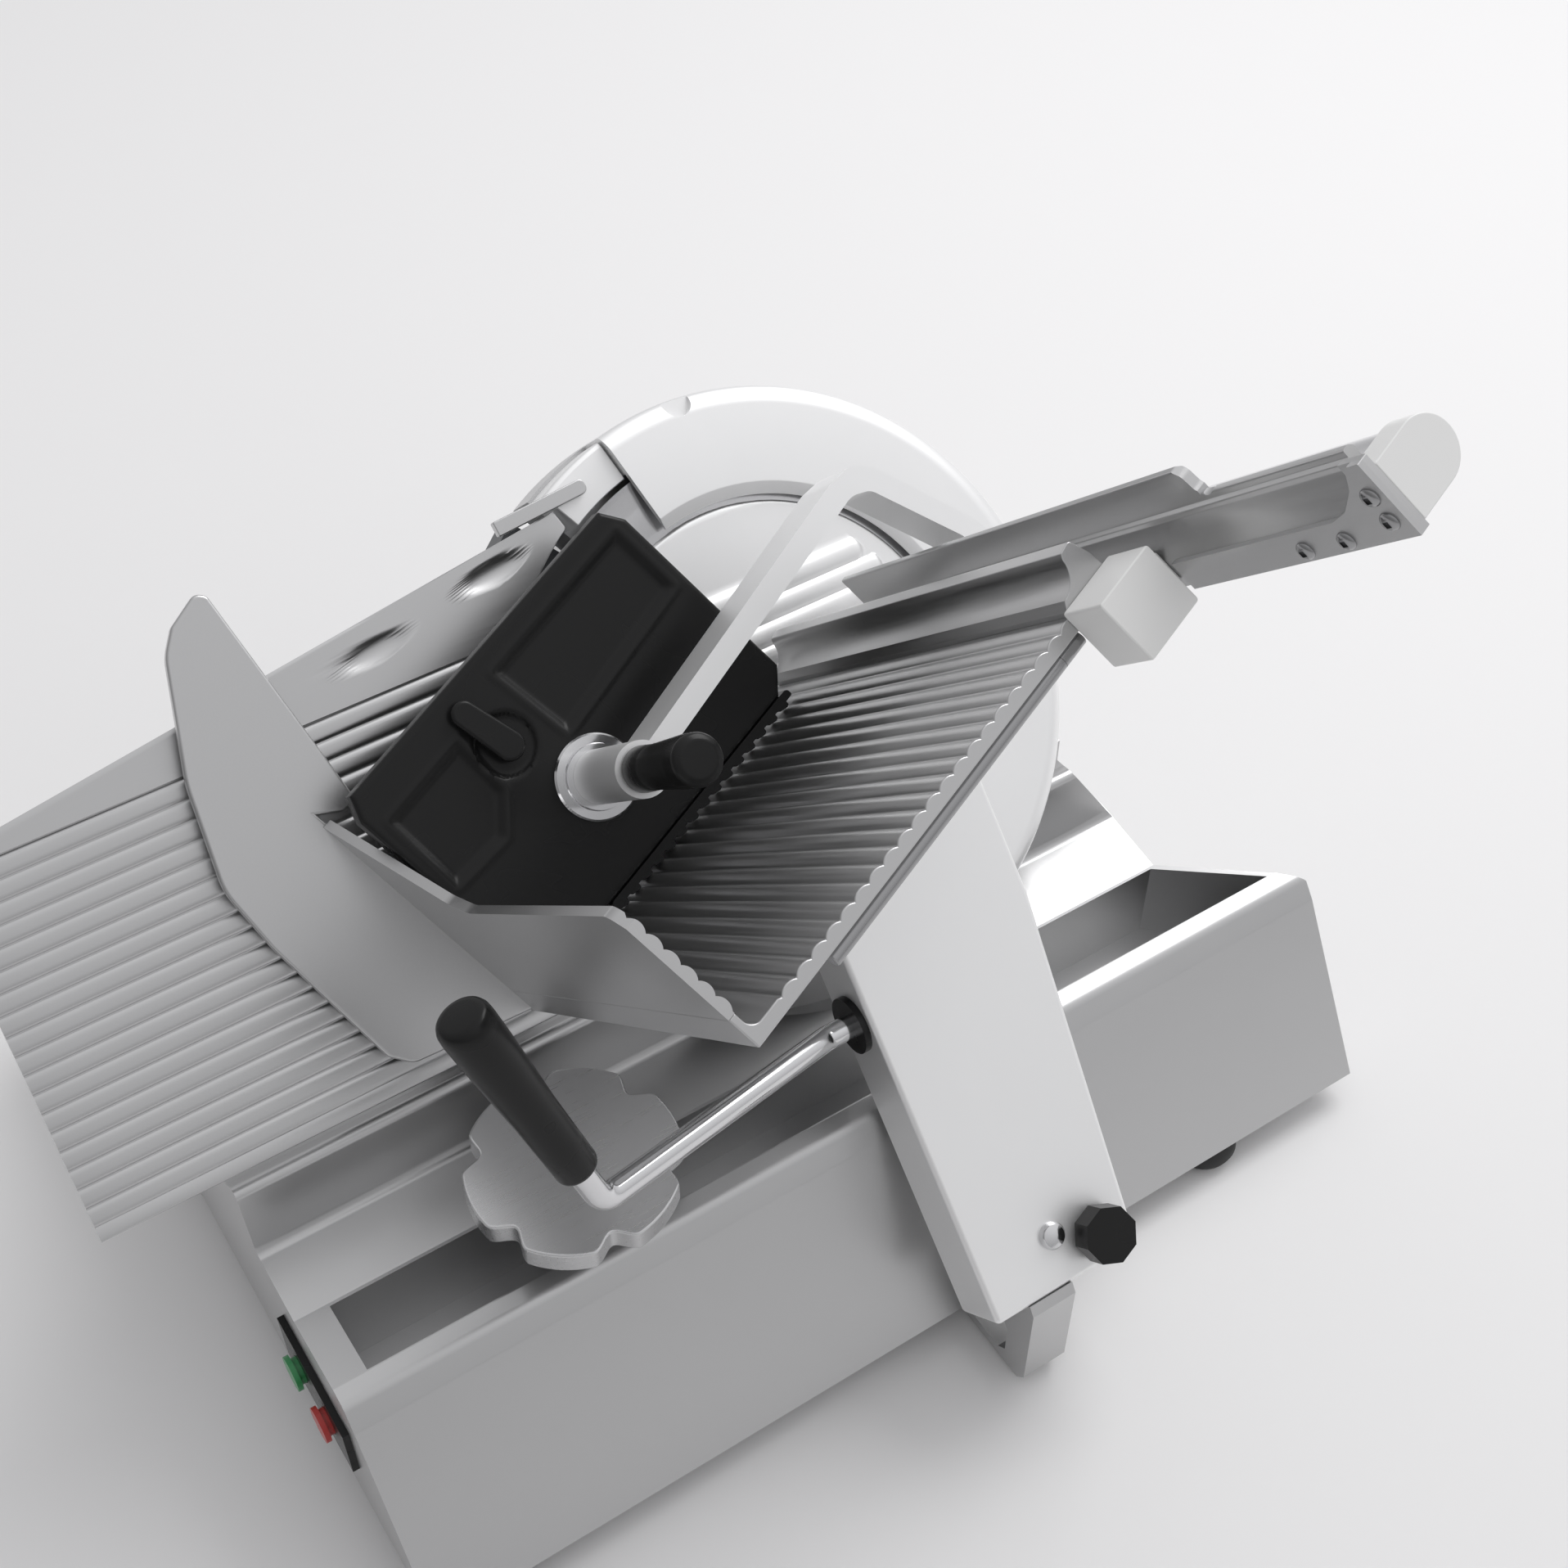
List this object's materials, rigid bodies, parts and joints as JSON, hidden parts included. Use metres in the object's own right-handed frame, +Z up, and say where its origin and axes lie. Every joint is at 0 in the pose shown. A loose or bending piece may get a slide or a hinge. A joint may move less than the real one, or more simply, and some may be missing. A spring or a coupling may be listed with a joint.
{
  "type": "deli meat slicer",
  "caption": "Gravity-feed deli meat slicer with tilted blade, ribbed chute, swing-over meat holder and thickness dial",
  "frame": {"origin": "on the table, in the middle of the whole machine's footprint at rest", "axes": "+Z up, the carriage travels along Y with the operator at -Y, and the product chute is on the +X side"},
  "size_m": [0.6148, 0.732, 0.6677],
  "materials": {
    "painted_base": "satin anodised cast housing",
    "guard_white": "pale bead-blasted anodised",
    "brushed_alloy": "brushed and anodised",
    "ribbed_alloy": "anodised, finely ribbed",
    "blade_steel": "ground and polished",
    "bright_steel": "polished round bar",
    "screw_steel": "zinc plated",
    "tray_steel": "brushed stainless sheet",
    "black_plastic": "moulded, fine grain",
    "white_plastic": "moulded",
    "dial_alloy": "turned and anodised",
    "rubber": "matte",
    "bronze": "oiled sintered bush",
    "motor_paint": "matte enamel",
    "start_green": "moulded",
    "stop_red": "moulded"
  },
  "bodies": {
    "base": {"base_housing": "painted_base", "base_plate": "tray_steel", "rubber_feet": "rubber", "blade_housing": "painted_base", "guard_ring": "guard_white", "side_guard": "guard_white", "guard_tongue": "brushed_alloy", "blade_cover": "guard_white", "spindle_bearings": "bright_steel", "drive_belt": "rubber", "drive_motor": "motor_paint", "motor_mount": "brushed_alloy", "motor_cover": "painted_base", "cover_tie_rod": "bright_steel", "cover_knob": "black_plastic", "gauge_bracket": "brushed_alloy", "gauge_rods": "bright_steel", "dial_collar": "brushed_alloy", "slide_rod": "bright_steel", "slide_rests": "brushed_alloy", "sharpener": "motor_paint", "receiving_tray": "tray_steel", "switch_panel": "black_plastic", "cord_gland": "black_plastic"},
    "rotor": {"blade": "blade_steel", "blade_spindle": "bright_steel", "driven_pulley": "dial_alloy"},
    "motor_rotor": {"motor_pulley": "dial_alloy"},
    "gauge": {"gauge_plate": "ribbed_alloy", "gauge_carrier": "brushed_alloy"},
    "dial": {"thickness_dial": "dial_alloy", "dial_scroll": "screw_steel"},
    "carriage": {"slide_block": "brushed_alloy", "slide_bushings": "bronze", "carriage_foot": "brushed_alloy", "carriage_column": "guard_white", "chute_floor": "ribbed_alloy", "chute_side": "ribbed_alloy", "hand_guard": "brushed_alloy", "lip_fence": "brushed_alloy", "edge_rod": "bright_steel", "mounting_block": "white_plastic", "handle_grommet": "black_plastic", "handle_tube": "bright_steel", "handle_grip": "black_plastic", "holder_rail": "brushed_alloy", "rail_end_plate": "brushed_alloy", "rail_screws": "screw_steel", "rail_end_cap": "white_plastic", "holder_rod": "bright_steel"},
    "lock_knob": {"tilt_lock_knob": "black_plastic"},
    "slider": {"holder_slider": "brushed_alloy"},
    "holder": {"holder_arm": "guard_white", "hub_collar": "bright_steel", "holder_grip": "black_plastic", "holder_plate": "black_plastic", "tooth_strip": "screw_steel"},
    "latch": {"thumb_latch": "black_plastic"},
    "start": {"start_button": "start_green"},
    "stop": {"stop_button": "stop_red"}
  },
  "joints": [
    {"name": "blade_spin", "type": "hinge", "parent": "base", "child": "rotor", "pos_m": [-0.05422, 0.104, 0.28], "axis": [0.7071, 0, 0.7071], "continuous": true},
    {"name": "motor_spin", "type": "hinge", "parent": "base", "child": "motor_rotor", "pos_m": [-0.132, 0.104, 0.35778], "axis": [0.7071, 0, 0.7071], "continuous": true},
    {"name": "dial_turn", "type": "hinge", "parent": "base", "child": "dial", "pos_m": [0.10178, -0.134, 0.18], "axis": [0, 0, -1], "range_deg": [0, 270]},
    {"name": "gauge_travel", "type": "slide", "parent": "base", "child": "gauge", "axis": [-0.7071, 0, -0.7071], "range_m": [0, 0.015]},
    {"name": "carriage_travel", "type": "slide", "parent": "base", "child": "carriage", "axis": [0, 1, 0], "range_m": [-0.1, 0.14]},
    {"name": "lock_knob_turn", "type": "hinge", "parent": "carriage", "child": "lock_knob", "pos_m": [0.25691, 0.114, 0.10605], "axis": [0.7071, 0, 0.7071], "range_deg": [-180, 0]},
    {"name": "holder_slide", "type": "slide", "parent": "carriage", "child": "slider", "axis": [0.7071, 0, 0.7071], "range_m": [0, 0.33]},
    {"name": "holder_swing", "type": "hinge", "parent": "slider", "child": "holder", "pos_m": [0.01097, 0.18209, 0.38452], "axis": [-0.7071, 0, -0.7071], "range_deg": [0, 95]},
    {"name": "latch_turn", "type": "hinge", "parent": "holder", "child": "latch", "pos_m": [-0.04285, -0.0803, 0.35349], "axis": [0.7071, 0, 0.7071], "range_deg": [-60, 0]},
    {"name": "start_press", "type": "slide", "parent": "base", "child": "start", "axis": [0, 1, 0], "range_m": [0, 0.002], "stiffness_N_per_m": 600},
    {"name": "stop_press", "type": "slide", "parent": "base", "child": "stop", "axis": [0, 1, 0], "range_m": [0, 0.002], "stiffness_N_per_m": 600}
  ],
  "couplings": [
    {"joint": "motor_spin", "follows": "blade_spin", "ratio": 3.8148},
    {"joint": "gauge_travel", "follows": "dial_turn", "m_per_rad": 0.0031831}
  ]
}
